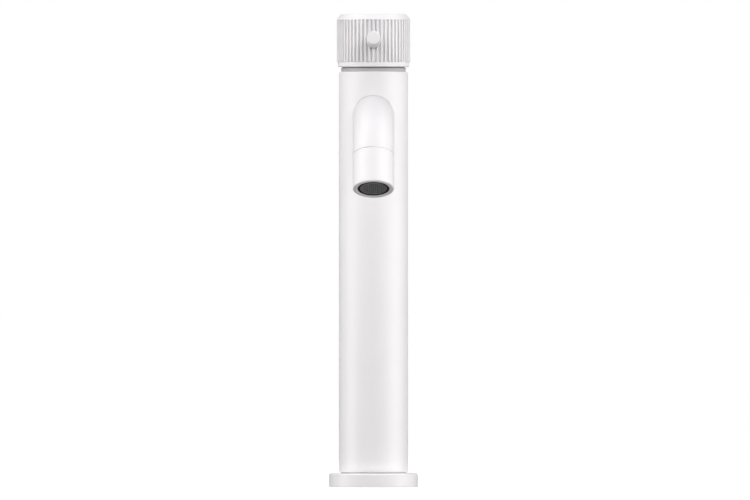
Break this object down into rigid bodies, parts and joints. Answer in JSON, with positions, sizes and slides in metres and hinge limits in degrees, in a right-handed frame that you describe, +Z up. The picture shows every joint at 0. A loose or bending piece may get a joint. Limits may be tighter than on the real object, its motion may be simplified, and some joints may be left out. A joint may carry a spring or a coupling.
{
  "type": "tall basin mixer tap",
  "caption": "Tall single-hole basin mixer tap with a round column, a bent round spout, a screw-on nozzle and a fluted turning handle with a pin lever.",
  "frame": {"origin": "centre of the deck flange's underside, where the tap stands on the basin deck", "axes": "+Z up along the column, -Y towards the user along the spout and pin lever, +X the user's right"},
  "size_m": [0.0542, 0.1682, 0.2874],
  "materials": {
    "white_coat": "satin",
    "brass": "satin",
    "copper": "satin",
    "steel": "satin",
    "black_rubber": "matte",
    "white_acetal": "matte",
    "grey_plastic": "matte",
    "black_plastic": "matte",
    "pale_grey_plastic": "satin",
    "ceramic": "satin"
  },
  "bodies": {
    "tap_body": {"base_flange": "white_coat", "deck_seal": "black_rubber", "base_foot": "brass", "supply_tube_hot": "copper", "supply_tube_cold": "copper", "supply_tube_o_rings": "black_rubber", "body_column": "white_coat", "valve_housing": "brass", "neck_ring": "pale_grey_plastic", "guide_ring": "white_acetal", "cartridge_shell": "white_acetal", "cartridge_base": "white_acetal", "cartridge_base_seals": "black_rubber", "fixed_disc": "ceramic", "gland_nut": "brass", "limit_ring": "black_plastic", "spout_tube": "white_coat", "spout_o_rings": "black_rubber", "nozzle_o_ring": "black_rubber"},
    "handle": {"handle_grip": "white_coat", "handle_core": "white_coat", "spline_insert": "black_plastic", "handle_grub_screw": "steel", "grub_screw_plug": "white_acetal", "pin_lever": "white_coat", "cartridge_spindle": "brass", "spindle_o_rings": "black_rubber", "spindle_circlip": "steel", "disc_carrier": "white_acetal", "moving_disc": "ceramic"},
    "nozzle_washer": {"aerator_washer": "black_rubber"},
    "nozzle": {"nozzle_sleeve": "white_coat", "aerator_insert": "black_plastic", "aerator_screen": "grey_plastic", "flow_regulator": "white_acetal"}
  },
  "joints": [
    {"name": "handle_turn", "type": "hinge", "parent": "tap_body", "child": "handle", "pos_m": [0, 0, 0.27], "axis": [0, 0, 1], "range_deg": [0, 100]},
    {"name": "nozzle_thread_slide", "type": "slide", "parent": "tap_body", "child": "nozzle_washer", "axis": [0, -0.4226, -0.9063], "range_m": [0, 0.0041]},
    {"name": "nozzle_unscrew", "type": "hinge", "parent": "nozzle_washer", "child": "nozzle", "pos_m": [0, -0.12467, 0.19183], "axis": [0, -0.4226, -0.9063], "range_deg": [0, 1440]}
  ],
  "couplings": [
    {"joint": "nozzle_thread_slide", "follows": "nozzle_unscrew", "m_per_rad": 0.00015915}
  ]
}
